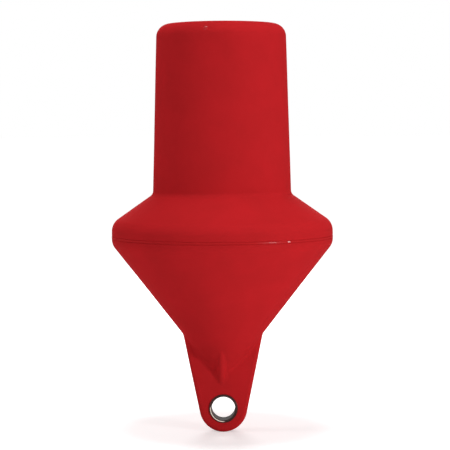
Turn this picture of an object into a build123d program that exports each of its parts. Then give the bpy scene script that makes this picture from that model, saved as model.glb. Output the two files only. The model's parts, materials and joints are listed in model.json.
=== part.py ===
from build123d import *
import math
import os

# A can-shaped marker buoy: a moulded float with a day mark on top and a mooring lug below.
# Millimetres, +Z up. The origin is on the buoy's axis at the girth seam, which is its waterline.
# The mooring lug is broad along X, and the mooring eye's axis is along Y.
# The moulding is filled with foam and closed, so its two halves are modelled without their hollow.

# turned body: heights above the seam and depths below it, at the corners before they are rounded
float_radius = 200.0
can_top_height = 382.4
can_top_radius = 116.5
can_top_rounding = 24.0
can_crown = 3.0
can_foot_height = 77.0
can_foot_radius = 125.2
can_foot_blend = 18.0
shoulder_edge_height = 24.5
shoulder_edge_rounding = 26.0
cone_edge_depth = 13.0
cone_edge_rounding = 27.0
cone_tip_depth = 271.5

# girth seam: a bead that lies in a V groove round the joint of the two halves
bead_width = 4.0
bead_groove_depth = 2.2
bead_proud = 0.7
bead_crest_width = 2.0

# mooring lug: a flat plate that tapers down to a round end about the eye
eye_below_tip = 41.0
lug_end_radius = 43.5
lug_taper = 11.8
lug_thickness = 36.0
lug_edge_rounding = 7.0
lug_blend = 10.0

# gusset rib down the middle of each face of the lug: it leaves the cone at the radius given,
# and runs out on the lug's face below the line where the cone meets that face
rib_top_radius = 52.5
rib_foot_reach = 21.0
rib_ridge_radius = 7.5
rib_draft = 14.0
rib_blend = 5.0

# stainless bush through the eye, with a lip turned out over each face of the lug
bush_diameter = 48.3
bush_wall = 2.6
bush_clearance = 0.1
bush_lip_radius = 26.0
bush_lip_height = 1.3
bush_lip_bevel = 0.8

# plug pressed into the filling hole, on the rounded top edge of the can
plug_radius = 4.5
plug_length = 7.0
plug_clearance = 0.1
plug_proud = 0.9
plug_bevel = 0.7
plug_turn = -103.4
plug_lift = 26.0

# how far a cutting or buried solid runs past what it cuts or joins
overrun = 20.0

# worked out: the cone's gain in radius for each millimetre of height, and the eye's place
cone_slope = float_radius / (cone_tip_depth - cone_edge_depth)
eye_depth = cone_tip_depth + eye_below_tip


def turned_body():
    # radius, height and rounding of each corner of the outline, from the top down
    corners = [
        (can_top_radius, can_top_height, can_top_rounding),
        (can_foot_radius, can_foot_height, can_foot_blend),
        (float_radius, shoulder_edge_height, shoulder_edge_rounding),
        (float_radius, -cone_edge_depth, cone_edge_rounding),
    ]
    crown = (0, can_top_height + can_crown)
    tip = (0, -cone_tip_depth)
    points = [(radius, height) for radius, height, rounding in corners]
    top = TangentArc(crown, points[0], tangent=(1, 0))
    outline = Plane.XZ * make_face(top + Polyline(*points, tip, crown))
    for radius, height, rounding in corners:
        corner = outline.vertices().sort_by_distance((radius, 0, height))[0]
        outline = fillet(corner, rounding)
    return outline


def spin(outline):
    return revolve(outline, Axis.Z)


def corner_space(x_side, y_side, z_side):
    # all of space on the given sides of the three planes through the origin, 0 for both sides
    size = 4 * (float_radius + can_top_height + eye_depth)
    return Pos(x_side * size / 2, y_side * size / 2, z_side * size / 2) * Box(size, size, size)


def lug_plate():
    # the flanks touch the round end where they turn into it, and run up into the cone
    slope = math.radians(lug_taper)
    low_x = lug_end_radius * math.cos(slope)
    low_z = -eye_depth - lug_end_radius * math.sin(slope)
    root_z = overrun - cone_tip_depth / 2
    root_x = low_x + (root_z - low_z) * math.tan(slope)
    end = ThreePointArc((low_x, low_z), (0, -eye_depth - lug_end_radius), (-low_x, low_z))
    flanks = Polyline((-low_x, low_z), (-root_x, root_z), (root_x, root_z), (low_x, low_z))
    plate = extrude(Plane.XZ * make_face(end + flanks), lug_thickness / 2, both=True)
    return fillet(plate.faces().filter_by(Axis.Y).edges(), lug_edge_rounding)


def gusset_rib():
    # drawn across its own ridge line, which runs straight from the cone to the lug's face
    face = lug_thickness / 2
    top = Vector(0, -rib_top_radius, rib_top_radius / cone_slope - cone_tip_depth)
    foot = Vector(0, -face, face / cone_slope - cone_tip_depth - rib_foot_reach)
    run = (foot - top).normalized()
    draft = math.radians(rib_draft)
    side_x = rib_ridge_radius * math.cos(draft)
    side_y = rib_ridge_radius * (math.sin(draft) - 1)
    base_y = side_y - face
    base_x = side_x + (side_y - base_y) * math.tan(draft)
    ridge = ThreePointArc((side_x, side_y), (0, 0), (-side_x, side_y))
    flanks = Polyline((-side_x, side_y), (-base_x, base_y), (base_x, base_y), (side_x, side_y))
    start = Plane(origin=top - run * overrun, x_dir=(1, 0, 0), z_dir=run)
    return extrude(start * make_face(ridge + flanks), (foot - top).length + 2 * overrun)


def blended(base, piece, radius):
    # joins two solids and rounds out the corner along the line where their surfaces meet
    joined = base + piece
    return fillet(new_edges(base, piece, combined=joined), radius)


def lower_moulding():
    # one quarter of the cone, lug and rib, mirrored to the other three
    quarter = corner_space(1, -1, -1)
    body = blended(spin(turned_body()) & quarter, lug_plate() & quarter, lug_blend)
    body = blended(body, gusset_rib() & quarter, rib_blend)
    front = body + mirror(body, Plane.YZ)
    return front + mirror(front, Plane.XZ) - eye_hole() - bead_groove()


def upper_moulding(seat):
    return (spin(turned_body()) & corner_space(0, 0, 1)) - bead_groove() - filling_hole(seat)


def bead_groove():
    # cut wider than the bead by the same slope, so that it clears the float's own rounding
    reach = float_radius + overrun
    flare = bead_width / 2 * (bead_groove_depth + overrun) / bead_groove_depth
    root = (float_radius - bead_groove_depth, 0)
    return spin(Plane.XZ * make_face(Polyline(root, (reach, flare), (reach, -flare), close=True)))


def girth_bead():
    crest = float_radius + bead_proud
    half = bead_width / 2
    half_crest = bead_crest_width / 2
    outline = Polyline(
        (float_radius - bead_groove_depth, 0),
        (float_radius, half),
        (crest, half_crest),
        (crest, -half_crest),
        (float_radius, -half),
        close=True,
    )
    return spin(Plane.XZ * make_face(outline))


def eye_hole():
    radius = bush_diameter / 2 + bush_clearance
    return Pos(0, 0, -eye_depth) * Rot(90, 0, 0) * Cylinder(radius, lug_thickness + 2 * overrun)


def eye_bush():
    outer = bush_diameter / 2
    inner = outer - bush_wall
    seat = lug_thickness / 2
    end = seat + bush_lip_height
    half = Polyline(
        (inner, 0),
        (inner, end - bush_lip_bevel),
        (inner + bush_lip_bevel, end),
        (bush_lip_radius - bush_lip_bevel, end),
        (bush_lip_radius, end - bush_lip_bevel),
        (bush_lip_radius, seat),
        (outer, seat),
        (outer, 0),
        close=True,
    )
    section = make_face(half)
    return Pos(0, 0, -eye_depth) * revolve(section + mirror(section, Plane.XZ), Axis.Y)


def plug_seat():
    # square to the middle of the plug on the can's rounded top edge
    arcs = turned_body().edges().filter_by(GeomType.CIRCLE)
    rounding = arcs.sort_by_distance((can_top_radius, 0, can_top_height))[0]
    lift = math.radians(plug_lift)
    normal = Vector(math.cos(lift), 0, math.sin(lift))
    place = Plane(origin=rounding.arc_center + normal * rounding.radius, z_dir=normal)
    return Rot(0, 0, plug_turn) * place.location


def filling_plug(seat):
    length = plug_length + plug_proud
    body = Pos(0, 0, plug_proud - length / 2) * Cylinder(plug_radius, length)
    return seat * chamfer(body.edges().sort_by(Axis.Z)[-1], plug_bevel)


def filling_hole(seat):
    length = plug_length + overrun
    return seat * Pos(0, 0, overrun - length / 2) * Cylinder(plug_radius + plug_clearance, length)


def main():
    seat = plug_seat()
    pieces = {
        "upper_moulding": upper_moulding(seat),
        "lower_moulding": lower_moulding(),
        "girth_seam": girth_bead(),
        "eye_bush": eye_bush(),
        "filling_plug": filling_plug(seat),
    }
    os.makedirs("parts", exist_ok=True)
    for name, piece in pieces.items():
        export_step(piece, f"parts/{name}.step")


main()
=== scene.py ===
import bpy
import bmesh
import json
import math
import numpy as np
from mathutils import Matrix, Vector, noise

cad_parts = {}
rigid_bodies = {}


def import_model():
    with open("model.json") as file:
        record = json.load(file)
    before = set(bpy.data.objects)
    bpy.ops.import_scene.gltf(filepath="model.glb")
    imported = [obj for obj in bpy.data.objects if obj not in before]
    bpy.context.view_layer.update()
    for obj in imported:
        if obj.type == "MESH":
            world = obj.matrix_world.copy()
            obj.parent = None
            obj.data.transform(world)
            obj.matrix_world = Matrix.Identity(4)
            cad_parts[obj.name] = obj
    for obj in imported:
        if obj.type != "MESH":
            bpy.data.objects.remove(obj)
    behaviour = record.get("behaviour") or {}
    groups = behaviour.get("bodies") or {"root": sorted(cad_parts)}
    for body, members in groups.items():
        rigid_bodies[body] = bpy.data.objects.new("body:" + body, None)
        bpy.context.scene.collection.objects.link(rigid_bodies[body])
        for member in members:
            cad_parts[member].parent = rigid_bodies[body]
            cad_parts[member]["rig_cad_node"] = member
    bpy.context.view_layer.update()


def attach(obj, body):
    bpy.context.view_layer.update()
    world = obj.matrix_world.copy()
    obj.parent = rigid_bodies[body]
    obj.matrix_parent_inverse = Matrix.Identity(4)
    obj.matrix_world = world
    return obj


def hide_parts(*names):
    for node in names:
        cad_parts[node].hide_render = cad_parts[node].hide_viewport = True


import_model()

# Can-shaped marker buoy, in metres, +Z up, the origin on the axis at the girth seam.
# The lug is broad along X and its eye looks along Y; the camera looks along +Y.
# Colours are linear. A surface noise is its size in metres, its detail and its roughness, and for
# one with a grain how many times finer it is along X, Y and Z.

girthRadius = 0.2000

# radius, height, rounding and facets of each corner, from the top down
outline = {
    "canTop": (0.1165, 0.3824, 0.0240, 18),
    "canFoot": (0.1252, 0.0770, 0.0120, 10),
    "shoulderEdge": (girthRadius, 0.0245, 0.0260, 16),
    "grooveMouth": (girthRadius, 0.0031, 0.0005, 4),
    "coneEdge": (girthRadius, -0.0130, 0.0270, 16),
    "coneTip": (0.0, -0.2715),  # hidden inside the lug
    "grooveDepth": 0.0022,
    "crownHeight": 0.3852,
    "crownRise": 0.0052,  # from the can's corner to the axis, on the slope of the crown's edge
    "crownSteps": 26,
    # distance between the rings along the straight stretches
    "canStep": 0.0045,
    "shoulderStep": 0.0030,
    "seatStep": 0.0500,
}

canTop, canFoot = outline["canTop"], outline["canFoot"]
shoulderEdge, coneEdge = outline["shoulderEdge"], outline["coneEdge"]
aboveCan = (0.0, canTop[1] + outline["crownRise"])
grooveRoot = (girthRadius - outline["grooveDepth"], 0.0)
tipHeight = outline["coneTip"][1]
coneSlope = coneEdge[0] / (coneEdge[1] - tipHeight)  # gain in radius for each metre of height


def cornerCircle(before, corner, after, radius):
    # the centre of the circle that rounds a corner, and where it touches the two sides
    before, corner, after = Vector(before), Vector(corner), Vector(after)
    toBefore, toAfter = (before - corner).normalized(), (after - corner).normalized()
    half = toBefore.angle(toAfter) / 2
    reach = radius / math.tan(half)
    centre = corner + (toBefore + toAfter).normalized() * (radius / math.sin(half))
    return centre, corner + toBefore * reach, corner + toAfter * reach


def cornerArc(before, corner, after, radius, facets):
    # the points of the arc that rounds a corner
    centre, start, end = cornerCircle(before, corner, after, radius)
    fromAngle = math.atan2(start.y - centre.y, start.x - centre.x)
    turn = math.atan2(end.y - centre.y, end.x - centre.x) - fromAngle
    turn = (turn + math.pi) % (2 * math.pi) - math.pi
    angles = [fromAngle + turn * i / facets for i in range(facets + 1)]
    return [(centre.x + radius * math.cos(t), centre.y + radius * math.sin(t)) for t in angles]


def outlineArc(before, corner, after):
    radius, facets = corner[2:]
    return cornerArc(before[:2], corner[:2], after[:2], radius, facets)


def straightRun(start, end, step):
    # the points between two points of the outline, without the two
    count = max(1, round(math.dist(start, end) / step))
    return [
        (start[0] + (end[0] - start[0]) * i / count, start[1] + (end[1] - start[1]) * i / count)
        for i in range(1, count)
    ]


topArc = outlineArc(aboveCan, canTop, canFoot)
footArc = outlineArc(canTop, canFoot, shoulderEdge)
shoulderArc = outlineArc(canFoot, shoulderEdge, coneEdge)
grooveEdge = outlineArc(shoulderEdge, outline["grooveMouth"], grooveRoot)
coneArc = outlineArc(shoulderEdge, coneEdge, outline["coneTip"])


def clamp(value):
    return max(0.0, min(1.0, value))


def between(ends, share):
    return ends[0] + (ends[1] - ends[0]) * share


def turned(radius, turn, height):
    # the point at a radius, a turn about Z in radians, and a height
    return (radius * math.cos(turn), radius * math.sin(turn), height)


def direction(azimuth, elevation=0.0):
    # a unit vector from two angles in degrees; azimuth 0 is the camera's side and 90 is +X
    turn, lift = math.radians(azimuth), math.radians(elevation)
    return Vector((math.sin(turn) * math.cos(lift), -math.cos(turn) * math.cos(lift), math.sin(lift)))


def waver(point, size, seed):
    # smooth noise from -1 to 1, about the given size in metres; each seed is another part of it
    return noise.noise(Vector(point) / size + Vector((seed, seed * 1.7, seed * 0.3)))


def meshPiece(name, vertices, faces):
    mesh = bpy.data.meshes.new(name)
    mesh.from_pydata(vertices, [], faces)
    mesh.update()
    piece = bpy.data.objects.new(name, mesh)
    bpy.context.scene.collection.objects.link(piece)
    bm = bmesh.new()
    bm.from_mesh(mesh)
    bmesh.ops.recalc_face_normals(bm, faces=bm.faces)
    bm.to_mesh(mesh)
    bm.free()
    return piece


def smoothShade(piece, sharpAngle):
    for polygon in piece.data.polygons:
        polygon.use_smooth = True
    piece.data.set_sharp_from_angle(angle=math.radians(sharpAngle))


def ringFaces(rings, around, closed=False):
    # quads between rings of points, each ring closed on itself; closed joins the last to the first
    faces = []
    for i in range(rings if closed else rings - 1):
        low, high = i * around, ((i + 1) % rings) * around
        for j in range(around):
            k = (j + 1) % around
            faces.append((low + j, low + k, high + k, high + j))
    return faces


def closeRing(vertices, faces, ring, around, height):
    # a fan of faces from one ring to a point on the axis
    hub = len(vertices)
    vertices.append((0.0, 0.0, height))
    for j in range(around):
        faces.append((hub, ring * around + j, ring * around + (j + 1) % around))


def lathe(name, points, around):
    # points of an outline that starts and ends on the axis, turned about Z
    rings = points[1:-1]
    turns = [2 * math.pi * j / around for j in range(around)]
    vertices = [turned(radius, turn, height) for radius, height in rings for turn in turns]
    faces = ringFaces(len(rings), around)
    closeRing(vertices, faces, 0, around, points[0][1])
    closeRing(vertices, faces, len(rings) - 1, around, points[-1][1])
    return meshPiece(name, vertices, faces)


def startMaterial(name):
    material = bpy.data.materials.new(name)
    material.use_nodes = True
    tree = material.node_tree
    return material, tree, tree.nodes["Principled BSDF"]


def objectPlace(tree):
    return tree.nodes.new("ShaderNodeTexCoord").outputs["Object"]


def noiseNode(tree, size, detail, roughness, finer=(1, 1, 1)):
    scale = tree.nodes.new("ShaderNodeMapping")
    scale.inputs["Scale"].default_value = [times / size for times in finer]
    texture = tree.nodes.new("ShaderNodeTexNoise")
    texture.inputs["Scale"].default_value = 1.0
    texture.inputs["Detail"].default_value = detail
    texture.inputs["Roughness"].default_value = roughness
    tree.links.new(objectPlace(tree), scale.inputs["Vector"])
    tree.links.new(scale.outputs["Vector"], texture.inputs["Vector"])
    return texture.outputs["Fac"]


def rangeNode(tree, source, low, high, outLow=0.0, outHigh=1.0):
    node = tree.nodes.new("ShaderNodeMapRange")
    node.inputs["From Min"].default_value = low
    node.inputs["From Max"].default_value = high
    node.inputs["To Min"].default_value = outLow
    node.inputs["To Max"].default_value = outHigh
    tree.links.new(source, node.inputs["Value"])
    return node.outputs["Result"]


def mixColour(tree, amount, first, second):
    node = tree.nodes.new("ShaderNodeMix")
    node.data_type = "RGBA"
    tree.links.new(amount, node.inputs["Factor"])
    for socket, value in (("A", first), ("B", second)):
        target = [s for s in node.inputs if s.name == socket and s.type == "RGBA"][0]
        if isinstance(value, bpy.types.NodeSocket):
            tree.links.new(value, target)
        else:
            target.default_value = (*value, 1.0)
    return [s for s in node.outputs if s.type == "RGBA"][0]


def bumpNode(tree, height, distance, strength=1.0, before=None):
    node = tree.nodes.new("ShaderNodeBump")
    node.inputs["Strength"].default_value = strength
    node.inputs["Distance"].default_value = distance
    tree.links.new(height, node.inputs["Height"])
    if before is not None:
        tree.links.new(before, node.inputs["Normal"])
    return node.outputs["Normal"]


def vectorNode(tree, operation, source, value=None):
    node = tree.nodes.new("ShaderNodeVectorMath")
    node.operation = operation
    tree.links.new(source, node.inputs[0])
    if value is not None:
        node.inputs[1].default_value = value
    return node.outputs["Value" if operation in ("LENGTH", "DOT_PRODUCT") else "Vector"]


def mathNode(tree, operation, *sources):
    node = tree.nodes.new("ShaderNodeMath")
    node.operation = operation
    for source, socket in zip(sources, node.inputs):
        tree.links.new(source, socket)
    return node.outputs[0]


# the skin of both mouldings
moulding = {
    "colour": (0.500, 0.0153, 0.0188),
    "deepColour": (0.466, 0.0148, 0.0176),
    "chalkColour": (0.525, 0.0197, 0.0240),
    "clouds": (0.055, 4.0, 0.55),
    "cloudRange": (0.35, 0.65),
    "specks": (0.0035, 2.0, 0.5),
    "speckRange": (0.60, 0.80),
    "speckShare": 0.5,
    "roughness": (0.72, 0.84),
    "wornRange": (0.3, 0.7),
    "specular": 0.006,
    "ripple": (0.022, 2.0, 0.4),
    "rippleDepth": 0.00045,
    "peel": (0.0024, 2.0, 0.5),
    "peelDepth": 0.00010,
    "sharpAngle": 40,
    "wave": (0.085, 3.1),  # size and seed
    "waveDepth": 0.00022,
}


def mouldingMaterial():
    # rotomoulded polyethylene: clouded colour, faint specks, and an orange-peel surface
    material, tree, shader = startMaterial("mouldedRed")
    clouds = noiseNode(tree, *moulding["clouds"])
    specks = noiseNode(tree, *moulding["specks"])
    cloudShare = rangeNode(tree, clouds, *moulding["cloudRange"])
    base = mixColour(tree, cloudShare, moulding["deepColour"], moulding["colour"])
    speckShare = rangeNode(tree, specks, *moulding["speckRange"], 0.0, moulding["speckShare"])
    base = mixColour(tree, speckShare, base, moulding["chalkColour"])
    tree.links.new(base, shader.inputs["Base Color"])
    worn = rangeNode(tree, clouds, *moulding["wornRange"], *moulding["roughness"])
    tree.links.new(worn, shader.inputs["Roughness"])
    shader.inputs["Specular IOR Level"].default_value = moulding["specular"]
    normal = bumpNode(tree, noiseNode(tree, *moulding["ripple"]), moulding["rippleDepth"])
    peel = noiseNode(tree, *moulding["peel"])
    normal = bumpNode(tree, peel, moulding["peelDepth"], before=normal)
    tree.links.new(normal, shader.inputs["Normal"])
    return material


def skinWave(point):
    # the cooled skin is slightly wavy, and always inside the mould's own shape, so never above 0
    return (waver(point, *moulding["wave"]) - 1.0) * moulding["waveDepth"]


upperPiece = {
    "segments": 320,
    # heights from which the wave comes in, on the sides and on the top, and over how much height
    "sideWaveFrom": 0.004,
    "topWaveFrom": 0.360,
    "waveFade": 0.020,
}


def upperOutline():
    # from the crown down to the root of the groove, and in to the axis
    crown, steps = outline["crownHeight"], outline["crownSteps"]
    edge = topArc[0]
    points = [
        (edge[0] * i / steps, crown + (edge[1] - crown) * (i / steps) ** 2) for i in range(steps)
    ]
    points += topArc + straightRun(topArc[-1], footArc[0], outline["canStep"]) + footArc
    points += straightRun(footArc[-1], shoulderArc[0], outline["shoulderStep"]) + shoulderArc
    points += straightRun(shoulderArc[-1], grooveEdge[0], outline["shoulderStep"]) + grooveEdge
    points += [grooveRoot] + straightRun(grooveRoot, (0.0, 0.0), outline["seatStep"])
    return points + [(0.0, 0.0)]


def makeUpperMoulding(material):
    piece = lathe("upperMoulding", upperOutline(), upperPiece["segments"])
    for vertex in piece.data.vertices:
        x, y, z = vertex.co
        radius = math.hypot(x, y)
        if radius > 0:
            wave = skinWave(vertex.co)
            onSide = clamp((z - upperPiece["sideWaveFrom"]) / upperPiece["waveFade"])
            onTop = clamp((z - upperPiece["topWaveFrom"]) / upperPiece["waveFade"])
            share = 1 + wave * onSide / radius
            vertex.co = (x * share, y * share, z + wave * onTop)
    smoothShade(piece, moulding["sharpAngle"])
    piece.data.materials.append(material)
    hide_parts("upper_moulding")
    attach(piece, "root")
    return piece


tiny = 1e-12  # keeps a division away from zero
nearlyParallel = 1e-6  # the least squared sine between two surfaces in a blend


def coneDistance(x, y, z):
    # distance to the lower cone's surface and its normal
    radius = np.sqrt(x * x + y * y) + tiny
    length = math.hypot(1.0, coneSlope)
    dist = (radius - (z - tipHeight) * coneSlope) / length
    return dist, (x / radius / length, y / radius / length, np.full_like(x, -coneSlope / length))


lug = {
    "eyeBelowTip": 0.0410,
    "endRadius": 0.0434,
    "taper": math.radians(11.8),
    "thickness": 0.0360,
    "edgeRounding": 0.0070,
    "blend": 0.0080,
    "faceCrown": 0.0028,  # how far each face falls away one end radius from its middle
    "crownReach": 1.2,  # in end radii; the face falls no further beyond it
    "eyeClearance": 0.0001,  # round the bush
    "eyeSegments": 128,
    "drillLength": 0.0800,
}
eyeHeight = tipHeight - lug["eyeBelowTip"]
lugFoot = eyeHeight - lug["endRadius"]


def lugDistance(x, y, z):
    # distance to the flat lug with its rounded edges, and its normal
    sinTaper, cosTaper = math.sin(lug["taper"]), math.cos(lug["taper"])
    across, up = np.abs(x), z - eyeHeight
    fromEye = np.sqrt(across**2 + up**2) + tiny
    onEnd = up * cosTaper < -across * sinTaper  # below the point where the flank turns into the end
    flank = across * cosTaper - up * sinTaper - lug["endRadius"]
    overEdge = np.where(onEnd, fromEye - lug["endRadius"], flank) + lug["edgeRounding"]
    fall = lug["faceCrown"] * np.minimum(across / lug["endRadius"], lug["crownReach"]) ** 2
    overFace = np.abs(y) - lug["thickness"] / 2 + fall + lug["edgeRounding"]
    # beside both the edge and the face it is the rounding between them that counts
    both = (overEdge > 0) & (overFace > 0)
    corner = np.sqrt(np.maximum(overEdge, 0) ** 2 + np.maximum(overFace, 0) ** 2) + tiny
    dist = np.where(both, corner, np.maximum(overEdge, overFace)) - lug["edgeRounding"]
    edgeShare = np.where(both, overEdge / corner, (overEdge >= overFace).astype(float))
    faceShare = np.where(both, overFace / corner, (overEdge < overFace).astype(float))
    sideways = np.where(onEnd, across / fromEye, cosTaper) * (np.sign(x) + (x == 0))
    upwards = np.where(onEnd, up / fromEye, -sinTaper)
    return dist, (sideways * edgeShare, np.sign(y) * faceShare, upwards * edgeShare)


rib = {
    "topRadius": 0.0525,
    "footReach": 0.0210,
    "ridgeRadius": 0.0075,
    "draft": math.radians(14.0),
    "blend": 0.0065,
    "frontAside": -0.0030,  # the front one stands a little left of the middle
}


def ribDistance(x, y, z):
    # distance to the drafted rib with its round ridge, on either face, and its normal
    face = lug["thickness"] / 2
    top = Vector((rib["topRadius"], rib["topRadius"] / coneSlope + tipHeight))
    foot = Vector((face, face / coneSlope + tipHeight - rib["footReach"]))
    along = (foot - top).normalized()
    outward = Vector((-along.y, along.x))
    depth = (np.abs(y) - top.x) * outward.x + (z - top.y) * outward.y + rib["ridgeRadius"]
    x = np.where(y < 0, x - rib["frontAside"], x)
    across = np.abs(x)
    sinDraft, cosDraft = math.sin(rib["draft"]), math.cos(rib["draft"])
    onRidge = depth * cosDraft > across * sinDraft
    fromMiddle = np.sqrt(across**2 + depth**2) + tiny
    flank = across * cosDraft + depth * sinDraft - rib["ridgeRadius"]
    dist = np.where(onRidge, fromMiddle - rib["ridgeRadius"], flank)
    sideways = np.where(onRidge, across / fromMiddle, cosDraft) * (np.sign(x) + (x == 0))
    out = np.where(onRidge, depth / fromMiddle, sinDraft)
    return dist, (sideways, out * outward.x * (np.sign(y) + (y == 0)), out * outward.y)


def cosBetween(first, second):
    return sum(a * b for a, b in zip(first, second))


def blendJoint(distA, distB, cosAngle, radius):
    # the distance to two surfaces joined by a rolling-ball blend, given the cosine between normals
    u, v = distA - radius, distB - radius
    sinSquared = np.maximum(1 - cosAngle**2, nearlyParallel)
    shareA = (u - v * cosAngle) / sinSquared
    shareB = (v - u * cosAngle) / sinSquared
    reach = np.sqrt(np.maximum(u * u + v * v - 2 * u * v * cosAngle, 0) / sinSquared)
    inBlend = (shareA < 0) & (shareB < 0)
    return np.where(inBlend, radius - reach, np.minimum(distA, distB))


def lowerDistance(x, y, z):
    # distance to the cone, lug and ribs with the blends between them
    cone, coneNormal = coneDistance(x, y, z)
    plate, plateNormal = lugDistance(x, y, z)
    body = blendJoint(cone, plate, cosBetween(coneNormal, plateNormal), lug["blend"])
    ridge, ridgeNormal = ribDistance(x, y, z)
    onCone = cone < plate
    under = [np.where(onCone, c, p) for c, p in zip(coneNormal, plateNormal)]
    return blendJoint(body, ridge, cosBetween(under, ridgeNormal), rib["blend"])


lowerPiece = {
    "segments": 432,
    # where the directions stand closer together: degrees from the lug's broad side, width in
    # degrees and how much closer
    "crowding": ((24, 13, 1.6), (90, 12, 0.9)),
    "tracesPerDegree": 20,  # steps in which they are worked out
    # rings round the lug's end, by the angle from straight down: the first, the last and how many
    "endRings": (4, 80, 34),
    # distance between the rings: fine over the lug and the ribs, coarse on the cone above them
    "fineStep": 0.0013,
    "fineUpTo": -0.180,
    "coarseStep": 0.0045,
    "arcGap": 0.0020,  # left free below the rounded edge at the girth
    # how the surface is found in each direction: from how far out, and in how many halvings
    "searchFrom": 1.3 * girthRadius,
    "halvings": 34,
    # the wave's highest and lowest places on the cone, and over how much height it comes in
    "waveTop": (-0.010, 0.020),
    "waveFoot": (-0.240, 0.030),
}


def lowerDirections():
    # directions round the axis, closer together towards the lug's edges and over the ribs
    trace = np.linspace(0, 2 * math.pi, 360 * lowerPiece["tracesPerDegree"] + 1)
    fold = np.abs((np.degrees(trace) + 90) % 180 - 90)  # 0 along X, 90 along Y
    weight = np.ones_like(trace)
    for angle, width, closer in lowerPiece["crowding"]:
        weight += closer * np.exp(-(((fold - angle) / width) ** 2))
    travel = np.concatenate([[0], np.cumsum((weight[1:] + weight[:-1]) / 2)])
    places = np.linspace(0, travel[-1], lowerPiece["segments"], endpoint=False)
    return np.interp(places, travel, trace)


def lowerHeights():
    # heights of the rings from the lug's round end up to the girth
    fine, coarse = lowerPiece["fineStep"], lowerPiece["coarseStep"]
    angles = np.radians(np.linspace(*lowerPiece["endRings"]))
    heights = [eyeHeight - lug["endRadius"] * math.cos(angle) for angle in angles]
    heights += list(np.arange(heights[-1] + fine, lowerPiece["fineUpTo"], fine))
    heights += list(np.arange(heights[-1] + coarse, coneArc[-1][1] - lowerPiece["arcGap"], coarse))
    return np.array(heights + [height for radius, height in reversed(coneArc)])


def lowerRadii(directions, heights):
    # how far out the surface lies at each height and in each direction
    c, s = np.cos(directions)[None, :], np.sin(directions)[None, :]
    z = np.repeat(heights[:, None], len(directions), axis=1)
    near, far = np.zeros_like(z), np.full_like(z, lowerPiece["searchFrom"])
    for halving in range(lowerPiece["halvings"]):
        middle = (near + far) / 2
        inside = lowerDistance(middle * c, middle * s, z) < 0
        near, far = np.where(inside, middle, near), np.where(inside, far, middle)
    radii = (near + far) / 2
    # above the cone the rounded edge of the turned outline takes over
    onArc = heights >= coneArc[-1][1]
    radii[onArc] = np.array([radius for radius, height in reversed(coneArc)])[:, None]
    return radii


def makeLowerMoulding(material):
    directions, heights = lowerDirections(), lowerHeights()
    topFrom, topFade = lowerPiece["waveTop"]
    footFrom, footFade = lowerPiece["waveFoot"]
    vertices = []
    for height, radii in zip(heights, lowerRadii(directions, heights)):
        fade = clamp(min((topFrom - height) / topFade, (height - footFrom) / footFade))
        for turn, radius in zip(directions, radii):
            radius += skinWave(turned(radius, turn, height)) * fade
            vertices.append(turned(radius, turn, height))
    # the groove under the bead, and the seat that faces the upper moulding
    seat = [(radius, -height) for radius, height in grooveEdge] + [grooveRoot, (girthRadius / 2, 0.0)]
    vertices += [turned(radius, turn, height) for radius, height in seat for turn in directions]
    rings, around = len(heights) + len(seat), len(directions)
    faces = ringFaces(rings, around)
    closeRing(vertices, faces, 0, around, lugFoot)
    closeRing(vertices, faces, rings - 1, around, 0.0)
    piece = meshPiece("lowerMoulding", vertices, faces)
    drillEye(piece)
    smoothShade(piece, moulding["sharpAngle"])
    piece.data.materials.append(material)
    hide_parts("lower_moulding")
    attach(piece, "root")
    return piece


def drillEye(piece):
    # the eye, cut right through the lug
    radius = bush["outer"] + lug["eyeClearance"]
    bm = bmesh.new()
    bmesh.ops.create_cone(
        bm, cap_ends=True, segments=lug["eyeSegments"],
        radius1=radius, radius2=radius, depth=lug["drillLength"],
        matrix=Matrix.Translation((0, 0, eyeHeight)) @ Matrix.Rotation(math.pi / 2, 4, "X"),
    )
    mesh = bpy.data.meshes.new("eyeDrill")
    bm.to_mesh(mesh)
    bm.free()
    drill = bpy.data.objects.new("eyeDrill", mesh)
    bpy.context.scene.collection.objects.link(drill)
    cut = piece.modifiers.new("eye", "BOOLEAN")
    cut.operation = "DIFFERENCE"
    cut.solver = "EXACT"
    cut.object = drill
    bpy.context.view_layer.update()
    shaped = piece.evaluated_get(bpy.context.evaluated_depsgraph_get())
    piece.data = bpy.data.meshes.new_from_object(shaped)
    piece.modifiers.clear()
    bpy.data.objects.remove(drill)


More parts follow.
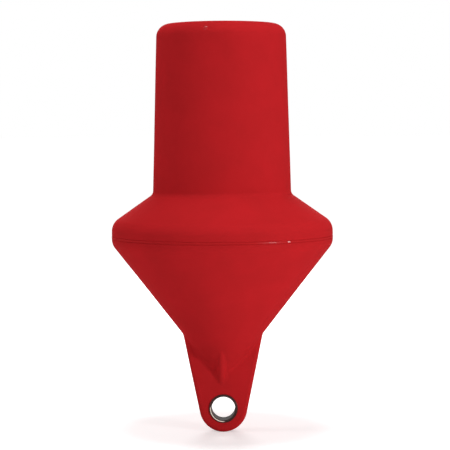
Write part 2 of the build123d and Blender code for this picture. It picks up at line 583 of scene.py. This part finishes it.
seam = {
    "segments": 1800,
    "sectionPoints": 16,
    "crestShare": 0.8,  # of the section, the rest being its two flanks
    "crestPower": 6,  # how square the crest is
    "proud": (0.00008, 0.00032),
    "mostProud": 0.00058,
    "halfWidth": (0.0016, 0.0021),
    "edgeDrop": 0.0001,
    "flankInset": 0.0002,
    "rootDepth": 0.0012,
    "tilt": 0.00016,  # the trimmed face looks a little upwards
    # size, seed and weight of what makes the bead proud and narrow or low and wide
    "uneven": ((0.012, 5.3, 0.8), (0.060, 8.8, 0.5)),
    "wander": (0.030, 1.9),  # size and seed
    "wanderHeight": 0.00030,
    "chips": (0.0035, 6.1),
    "chipReach": 0.0040,
    "chipDepth": 0.00004,
    # a nick that the knife left, which rises to a burr: where it starts and ends, in degrees
    # from the front, its depth and its height
    "burr": (34.25, 36.05),
    "nickDepth": 0.00070,
    "burrHeight": 0.00046,
    "sharpAngle": 50,
    # the bead's red is painted a little darker than the moulding's: painted shade along the seam
    "colour": (0.470, 0.0136, 0.0163),
    "tornColour": (0.52, 0.0170, 0.0200),
    "tears": (0.006, 4.0, 0.6, (1, 1, 3)),
    "tearRange": (0.54, 0.72),
    "tornShare": 0.7,
    "tearDepth": 0.00005,
    "scratches": (0.0016, 2.0, 0.5, (1, 1, 2)),
    "scratchDepth": 0.00003,
    "roughness": (0.80, 0.95),
    "wornRange": (0.35, 0.65),
    "specular": 0.045,
    # where the knife has left a smooth stretch: its middle, and how far it reaches to each side
    "smoothTurn": 28.5,
    "smoothReach": (11.0, 9.6),
    "smoothRoughness": 0.17,
    # the burr at the end of that stretch shines more: its middle, its reach and its gloss
    "glossTurn": 35.2,
    "glossReach": (1.3, 1.0),
    "burrSpecular": 0.14,
}


def beadSection(turn):
    # radius and height of the bead's points at one place along it, from its lower flank up
    at = Vector(turned(girthRadius, turn, 0.0))
    unevenness = sum(weight * waver(at, size, seed) for size, seed, weight in seam["uneven"])
    share = clamp(0.5 + unevenness)  # from low and wide to proud and narrow
    proud = between(seam["proud"], share)
    width = between(seam["halfWidth"], 1 - share)
    middle = seam["wanderHeight"] * waver(at, *seam["wander"])
    start, end = seam["burr"]
    onBurr = ((math.degrees(turn) + 90) % 360 - start) / (end - start)
    if 0 <= onBurr <= 1:
        proud = between((-seam["nickDepth"], seam["burrHeight"]), onBurr)
    section = []
    for i in range(seam["sectionPoints"]):
        t = -1 + 2 * i / (seam["sectionPoints"] - 1)  # from one foot of the bead to the other
        onCrest = t / seam["crestShare"]
        if abs(onCrest) < 1:
            chip = seam["chipDepth"] * waver((at.x, at.y, t * seam["chipReach"]), *seam["chips"])
            crown = 1 - abs(onCrest) ** seam["crestPower"]
            out = (proud + chip) * crown - seam["edgeDrop"] * (1 - crown) - seam["tilt"] * onCrest
            section.append((girthRadius + min(out, seam["mostProud"]), middle + onCrest * width))
        else:
            # the flank goes down beside the groove's wall
            down = (abs(t) - seam["crestShare"]) / (1 - seam["crestShare"])
            radius = girthRadius - seam["rootDepth"] * down - seam["flankInset"]
            section.append((radius, middle + math.copysign(width, t)))
    return section


def makeGirthSeam(material):
    # a bead trimmed by hand, so its height, width and line change along the way
    vertices = []
    for j in range(seam["segments"]):
        turn = 2 * math.pi * j / seam["segments"]
        vertices += [turned(radius, turn, height) for radius, height in beadSection(turn)]
    faces = ringFaces(seam["segments"], seam["sectionPoints"], closed=True)
    piece = meshPiece("girthSeam", vertices, faces)
    smoothShade(piece, seam["sharpAngle"])
    piece.data.materials.append(material)
    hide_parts("girth_seam")
    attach(piece, "root")
    return piece


def seamMaterial():
    # a trimmed edge, as dull as the moulding but for one smooth stretch, paler where it is torn; its
    # red is painted a little darker than the moulding's, as painted shade along the seam
    material, tree, shader = startMaterial("trimmedSeam")
    tears = noiseNode(tree, *seam["tears"])
    tornShare = rangeNode(tree, tears, *seam["tearRange"], 0.0, seam["tornShare"])
    base = mixColour(tree, tornShare, seam["colour"], seam["tornColour"])
    tree.links.new(base, shader.inputs["Base Color"])
    # the smooth stretch, by the cosine of the angle to its middle
    middle = direction(seam["smoothTurn"]) / girthRadius
    cosine = vectorNode(tree, "DOT_PRODUCT", objectPlace(tree), middle)
    outer, inner = (math.cos(math.radians(reach)) for reach in seam["smoothReach"])
    finish = tree.nodes.new("ShaderNodeMix")
    worn = rangeNode(tree, tears, *seam["wornRange"], *seam["roughness"])
    tree.links.new(rangeNode(tree, cosine, outer, inner), finish.inputs["Factor"])
    tree.links.new(worn, finish.inputs["A"])
    finish.inputs["B"].default_value = seam["smoothRoughness"]
    tree.links.new(finish.outputs["Result"], shader.inputs["Roughness"])
    # the burr, by the sine of the angle to its middle, which is as small straight across the buoy
    aside = direction(seam["glossTurn"] + 90) / girthRadius
    sine = mathNode(tree, "ABSOLUTE", vectorNode(tree, "DOT_PRODUCT", objectPlace(tree), aside))
    outer, inner = (math.sin(math.radians(reach)) for reach in seam["glossReach"])
    gloss = rangeNode(tree, sine, inner, outer, seam["burrSpecular"], seam["specular"])
    tree.links.new(gloss, shader.inputs["Specular IOR Level"])
    normal = bumpNode(tree, tears, seam["tearDepth"])
    scratches = noiseNode(tree, *seam["scratches"])
    normal = bumpNode(tree, scratches, seam["scratchDepth"], before=normal)
    tree.links.new(normal, shader.inputs["Normal"])
    return material


bush = {
    "outer": 0.02415,
    "inner": 0.02155,
    "lipRadius": 0.0260,
    "lipHeight": 0.00128,
    "mouthRounding": (0.0012, 8),  # radius and facets
    "lipRounding": (0.0010, 6),
    "boreRings": 8,
    "boreStop": 0.001,  # short of the lug's face, where the rounding of the mouth begins
    "segments": 192,
    "sharpAngle": 35,
    # the steel is painted this dark as a painted reflection of dark surroundings; the stains are
    # darker still
    "colour": (0.045, 0.022, 0.020),
    "stainColour": (0.035, 0.019, 0.017),
    "paintedHighlightColour": (0.84, 0.74, 0.64),
    "stains": (0.011, 5.0, 0.6),
    "stainRange": (0.46, 0.66),
    # the painted highlight, a pale crescent on the lip: the side it is on, how far towards that side
    # it starts, and the radii of its inner and outer edges
    "paintedHighlightSide": (-0.72, 0.0, -0.69),
    "paintedHighlightFrom": (0.0138, 0.0172),
    "paintedHighlightInner": (0.0226, 0.0231),
    "paintedHighlightOuter": (0.0243, 0.0238),
    # the radii between which the bore turns into the lip, and the finish of the two
    "boreEdge": (0.0219, 0.0224),
    "metallic": (0.1, 1.0),
    "roughness": (0.9, 0.3),
    "marks": (0.00045, 1.0, 0.5, (0.05, 1, 0.05)),
    "markStrength": 0.6,
    "markDepth": 0.00004,
}


def makeEyeBush(material):
    # half of the section, from the middle of the bore out over the lip and back to the middle
    inner, outer, lip = bush["inner"], bush["outer"], bush["lipRadius"]
    face = lug["thickness"] / 2
    end = face + bush["lipHeight"]
    half = [(inner, along) for along in np.linspace(0, face - bush["boreStop"], bush["boreRings"])]
    half += cornerArc((inner, 0), (inner, end), (lip, end), *bush["mouthRounding"])
    half += cornerArc((inner, end), (lip, end), (lip, 0), *bush["lipRounding"])
    half += [(lip, face), (outer, face), (outer, face / 2)]
    section = half + [(outer, 0)] + [(radius, -along) for radius, along in reversed(half[1:])]
    vertices = []
    for j in range(bush["segments"]):
        turn = 2 * math.pi * j / bush["segments"]
        for radius, along in section:
            x, up, y = turned(radius, turn, along)
            vertices.append((x, y, eyeHeight + up))
    faces = ringFaces(bush["segments"], len(section), closed=True)
    piece = meshPiece("eyeBush", vertices, faces)
    smoothShade(piece, bush["sharpAngle"])
    piece.data.materials.append(material)
    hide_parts("eye_bush")
    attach(piece, "root")
    return piece


def steelMaterial():
    # stainless tube with fine turning marks, tea-coloured stain and a bore gone dull; its steel is
    # painted dark, a painted reflection of dark surroundings, and the lip carries a painted highlight
    material, tree, shader = startMaterial("stainlessBush")
    stainShare = rangeNode(tree, noiseNode(tree, *bush["stains"]), *bush["stainRange"])
    base = mixColour(tree, stainShare, bush["colour"], bush["stainColour"])
    fromEye = vectorNode(tree, "SUBTRACT", objectPlace(tree), (0.0, 0.0, eyeHeight))
    radius = vectorNode(tree, "LENGTH", vectorNode(tree, "MULTIPLY", fromEye, (1.0, 0.0, 1.0)))
    # a painted highlight: a pale crescent on the lip, on one side of its lower half
    side = vectorNode(tree, "DOT_PRODUCT", fromEye, bush["paintedHighlightSide"])
    paintedHighlight = rangeNode(tree, side, *bush["paintedHighlightFrom"])
    for edge in ("paintedHighlightInner", "paintedHighlightOuter"):
        paintedHighlight = mathNode(tree, "MULTIPLY", paintedHighlight, rangeNode(tree, radius, *bush[edge]))
    inBore = rangeNode(tree, radius, *bush["boreEdge"], 1.0, 0.0)
    base = mixColour(tree, inBore, base, bush["stainColour"])
    base = mixColour(tree, paintedHighlight, base, bush["paintedHighlightColour"])
    tree.links.new(base, shader.inputs["Base Color"])
    metallic = rangeNode(tree, radius, *bush["boreEdge"], *bush["metallic"])
    tree.links.new(metallic, shader.inputs["Metallic"])
    dull = rangeNode(tree, radius, *bush["boreEdge"], *bush["roughness"])
    tree.links.new(dull, shader.inputs["Roughness"])
    marks = noiseNode(tree, *bush["marks"])
    normal = bumpNode(tree, marks, bush["markDepth"], bush["markStrength"])
    tree.links.new(normal, shader.inputs["Normal"])
    return material


plug = {
    "radius": 0.0045,
    "turn": math.radians(-103.4),
    "lift": math.radians(26.0),
    "proud": 0.0008,
    "sunk": 0.0003,
    "length": 0.0060,
    "domeRadius": 0.0095,
    "domeRings": (0.0, 0.12, 0.25, 0.38, 0.50, 0.62, 0.74, 0.85, 0.94, 1.0),  # shares of the radius
    "segments": 48,
    "sharpAngle": 45,
    # the plug's red is painted darker than the moulding's, as painted shade in its seat
    "colour": (0.40, 0.0095, 0.012),
    "scuffColour": (0.47, 0.013, 0.017),
    "scuffs": (0.003, 4.0, 0.6),
    "scuffRange": (0.40, 0.65),
    "scuffDepth": 0.00003,
    "roughness": (0.22, 0.32),
    "wornRange": (0.3, 0.7),
    "specular": 0.22,
}


def makeFillingPlug(material):
    # a push-in plug with a shallow dome for a head
    rim, foot, dome = plug["radius"], -plug["length"], plug["domeRadius"]
    section = []
    for share in plug["domeRings"]:
        section.append((rim * share, plug["proud"] - dome + math.sqrt(dome**2 - (rim * share) ** 2)))
    piece = lathe("fillingPlug", section + [(rim, foot), (0.0, foot)], plug["segments"])
    # square to the can's rounded top edge
    centre = cornerCircle(aboveCan, canTop[:2], canFoot[:2], canTop[2])[0]
    out = Vector((math.cos(plug["lift"]), 0, math.sin(plug["lift"])))
    seat = Vector((centre.x, 0, centre.y)) + out * (canTop[2] - plug["sunk"])
    place = Matrix.Translation(seat) @ out.to_track_quat("Z", "Y").to_matrix().to_4x4()
    piece.data.transform(Matrix.Rotation(plug["turn"], 4, "Z") @ place)
    smoothShade(piece, plug["sharpAngle"])
    piece.data.materials.append(material)
    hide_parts("filling_plug")
    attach(piece, "root")
    return piece


def plugMaterial():
    # the moulding's own plastic, polished by wear, its red painted darker as painted shade in its
    # seat
    material, tree, shader = startMaterial("plugPlastic")
    scuffs = noiseNode(tree, *plug["scuffs"])
    scuffShare = rangeNode(tree, scuffs, *plug["scuffRange"])
    base = mixColour(tree, scuffShare, plug["colour"], plug["scuffColour"])
    tree.links.new(base, shader.inputs["Base Color"])
    worn = rangeNode(tree, scuffs, *plug["wornRange"], *plug["roughness"])
    tree.links.new(worn, shader.inputs["Roughness"])
    shader.inputs["Specular IOR Level"].default_value = plug["specular"]
    tree.links.new(bumpNode(tree, scuffs, plug["scuffDepth"]), shader.inputs["Normal"])
    return material


shot = {
    "aim": (0.0049, 0.0, 0.0200),
    "distance": 3.175,
    "azimuth": 0.2,
    "elevation": 3.4,
    "roll": -0.36,
    "fieldOfView": 14.64,
    "sensorWidth": 36.0,
    "clip": (0.05, 60.0),
}


def makeCamera():
    data = bpy.data.cameras.new("camera")
    data.sensor_width = shot["sensorWidth"]
    data.lens = shot["sensorWidth"] / 2 / math.tan(math.radians(shot["fieldOfView"] / 2))
    data.clip_start, data.clip_end = shot["clip"]
    camera = bpy.data.objects.new("camera", data)
    bpy.context.scene.collection.objects.link(camera)
    back = direction(shot["azimuth"], shot["elevation"])
    place = Matrix.Translation(Vector(shot["aim"]) + back * shot["distance"])
    look = (-back).to_track_quat("-Z", "Y").to_matrix().to_4x4()
    camera.matrix_world = place @ look @ Matrix.Rotation(math.radians(shot["roll"]), 4, "Z")
    bpy.context.scene.camera = camera


studio = {
    "fill": 0.30,
    # azimuth, elevation, distance, size and power of each soft lamp; azimuth 0 is the camera's side
    "lamps": {
        "keyLamp": (50, 4, 3.4, 0.65, 48.0),
        "frontLamp": (25, 0, 3.4, 1.2, 6.0),
        "topLamp": (0, 85, 3.4, 1.2, 60.0),
        "leftLamp": (-85, 25, 3.4, 1.2, 19.0),
        "backLamp": (180, 20, 3.4, 1.6, 62.0),
    },
    "floorSize": 60.0,
    "floorColour": (0.80, 0.80, 0.80),
    "floorGlow": (0.46, 0.80),  # near the buoy and away from it
    "floorGlowReach": (0.6, 2.0),
}


def seenDirectly(tree):
    # 1 for rays from the camera, in a mirror finish or through something clear
    path = tree.nodes.new("ShaderNodeLightPath")
    seen = mathNode(tree, "MAXIMUM", path.outputs["Is Camera Ray"], path.outputs["Is Glossy Ray"])
    return mathNode(tree, "MAXIMUM", seen, path.outputs["Is Transmission Ray"])


def floorMaterial():
    # matt, with a glow that fades the floor into the white surroundings away from the buoy
    material = bpy.data.materials.new("paleFloor")
    material.use_nodes = True
    tree = material.node_tree
    tree.nodes.clear()
    matt = tree.nodes.new("ShaderNodeBsdfDiffuse")
    matt.inputs["Color"].default_value = (*studio["floorColour"], 1)
    away = vectorNode(tree, "LENGTH", objectPlace(tree))
    fade = rangeNode(tree, away, *studio["floorGlowReach"], *studio["floorGlow"])
    glow = tree.nodes.new("ShaderNodeEmission")
    tree.links.new(mathNode(tree, "MULTIPLY", seenDirectly(tree), fade), glow.inputs["Strength"])
    both = tree.nodes.new("ShaderNodeAddShader")
    tree.links.new(matt.outputs[0], both.inputs[0])
    tree.links.new(glow.outputs[0], both.inputs[1])
    output = tree.nodes.new("ShaderNodeOutputMaterial")
    tree.links.new(both.outputs[0], output.inputs["Surface"])
    return material


def makeFloor():
    size = studio["floorSize"]
    corners = [(-size, -size), (size, -size), (size, size), (-size, size)]
    piece = meshPiece("floor", [(x, y, lugFoot) for x, y in corners], [(0, 1, 2, 3)])
    piece.data.materials.append(floorMaterial())


def makeLight():
    world = bpy.data.worlds.new("studioAir")
    bpy.context.scene.world = world
    world.use_nodes = True
    tree = world.node_tree
    air = tree.nodes["Background"]
    air.inputs["Color"].default_value = (1, 1, 1, 1)
    # white where it is seen, and only the fill in what it lights
    strength = rangeNode(tree, seenDirectly(tree), 0.0, 1.0, studio["fill"], 1.0)
    tree.links.new(strength, air.inputs["Strength"])
    for name, (azimuth, elevation, distance, size, power) in studio["lamps"].items():
        data = bpy.data.lights.new(name, "AREA")
        data.shape = "DISK"
        data.size = size
        data.energy = power
        lamp = bpy.data.objects.new(name, data)
        bpy.context.scene.collection.objects.link(lamp)
        out = direction(azimuth, elevation)
        lamp.location = out * distance
        lamp.rotation_mode = "QUATERNION"
        lamp.rotation_quaternion = (-out).to_track_quat("-Z", "Y")
    bpy.context.scene.view_settings.view_transform = "Standard"


def clearStart():
    # whatever camera, lamp or mesh the opening scene has, apart from the CAD solids
    for thing in list(bpy.context.scene.objects):
        plainMesh = thing.type == "MESH" and "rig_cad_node" not in thing
        if plainMesh or thing.type in ("CAMERA", "LIGHT"):
            bpy.data.objects.remove(thing)


clearStart()
makeCamera()
makeFloor()
makeLight()
print("camera, floor and light are in place")

mouldedRed = mouldingMaterial()
makeUpperMoulding(mouldedRed)
print("upper moulding made")
makeLowerMoulding(mouldedRed)
print("lower moulding, lug and ribs made")
makeGirthSeam(seamMaterial())
print("girth seam made")
makeEyeBush(steelMaterial())
makeFillingPlug(plugMaterial())
print("eye bush and filling plug made")
